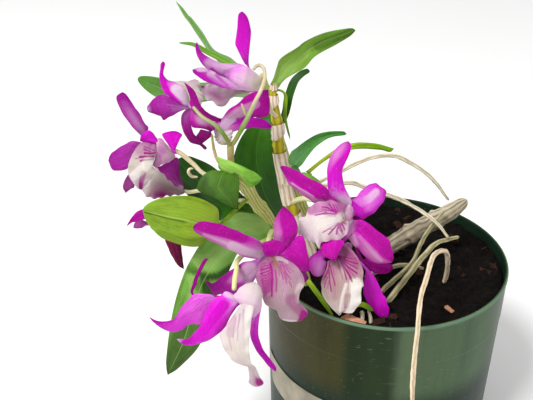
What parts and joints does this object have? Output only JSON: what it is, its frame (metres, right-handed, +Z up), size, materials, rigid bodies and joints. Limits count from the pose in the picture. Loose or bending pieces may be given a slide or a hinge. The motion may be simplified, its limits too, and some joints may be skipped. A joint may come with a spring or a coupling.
{
  "type": "potted dendrobium orchid",
  "caption": "Dendrobium orchid in flower: leafy canes, aerial roots and magenta blooms with veined pale lips, growing from bark in a round plastic nursery pot.",
  "frame": {"origin": "centre of the pot's flat base, on the surface it stands on", "axes": "+Z up, -Y towards the viewer's side that shows in the picture, +X to the viewer's right; the canes lean to -X"},
  "size_m": [0.2337, 0.1883, 0.2901],
  "materials": {
    "pot_plastic": "thin thermoformed plastic, dark green, satin",
    "bark_mix": "damp dark potting mix with loose bark chips",
    "label_paper": "plain blank label, matt",
    "old_cane": "old yellow cane in dry papery sheaths",
    "green_cane": "living cane, satin green",
    "shrivelled_cane": "shrivelled, lengthwise ridges, matt",
    "leaf": "leathery leaf, satin",
    "aerial_root": "spongy pale root skin, matt",
    "tepal": "soft petal, faint sparkle",
    "lip": "velvety petal with magenta veins",
    "stalk": "smooth thin flower stalk, satin"
  },
  "bodies": {
    "root": {"back_cane": "green_cane", "bloom_back_lip": "lip", "bloom_back_tepals": "tepal", "bloom_behind_lip": "lip", "bloom_behind_stalk": "stalk", "bloom_behind_tepals": "tepal", "bloom_left_lip": "lip", "bloom_left_stalk": "stalk", "bloom_left_tepals": "tepal", "bloom_low_left_lip": "lip", "bloom_low_left_stalk": "stalk", "bloom_low_left_tepals": "tepal", "bloom_low_right_lip": "lip", "bloom_low_right_stalk": "stalk", "bloom_low_right_tepals": "tepal", "bloom_middle_lip": "lip", "bloom_middle_stalk": "stalk", "bloom_middle_tepals": "tepal", "bloom_right_lip": "lip", "bloom_right_stalk": "stalk", "bloom_right_tepals": "tepal", "bloom_small_left_lip": "lip", "bloom_small_left_stalk": "stalk", "bloom_small_left_tepals": "tepal", "bloom_top_lip": "lip", "bloom_top_tepals": "tepal", "bloom_under_leaf_lip": "lip", "bloom_under_leaf_stalk": "stalk", "bloom_under_leaf_tepals": "tepal", "green_cane": "green_cane", "label": "label_paper", "leaf_bright_oval": "leaf", "leaf_dark_narrow": "leaf", "leaf_dark_wide": "leaf", "leaf_grass": "leaf", "leaf_grass_low": "leaf", "leaf_heart_shaded": "leaf", "leaf_left_tip": "leaf", "leaf_long_low": "leaf", "leaf_mid_right": "leaf", "leaf_shaded_back": "leaf", "leaf_small_right": "leaf", "leaf_small_tip": "leaf", "leaf_thin_upright": "leaf", "leaf_top_narrow": "leaf", "leaf_top_small": "leaf", "leaf_upper_right": "leaf", "old_cane": "old_cane", "plantlet_stem": "green_cane", "pot": "pot_plastic", "potting_mix": "bark_mix", "root_front_stub": "aerial_root", "root_in_pot_1": "aerial_root", "root_in_pot_2": "aerial_root", "root_in_pot_3": "aerial_root", "root_long_lower": "aerial_root", "root_long_upper": "aerial_root", "root_over_rim": "aerial_root", "shrivelled_cane": "shrivelled_cane", "spray_stalk": "stalk"}
  },
  "joints": []
}
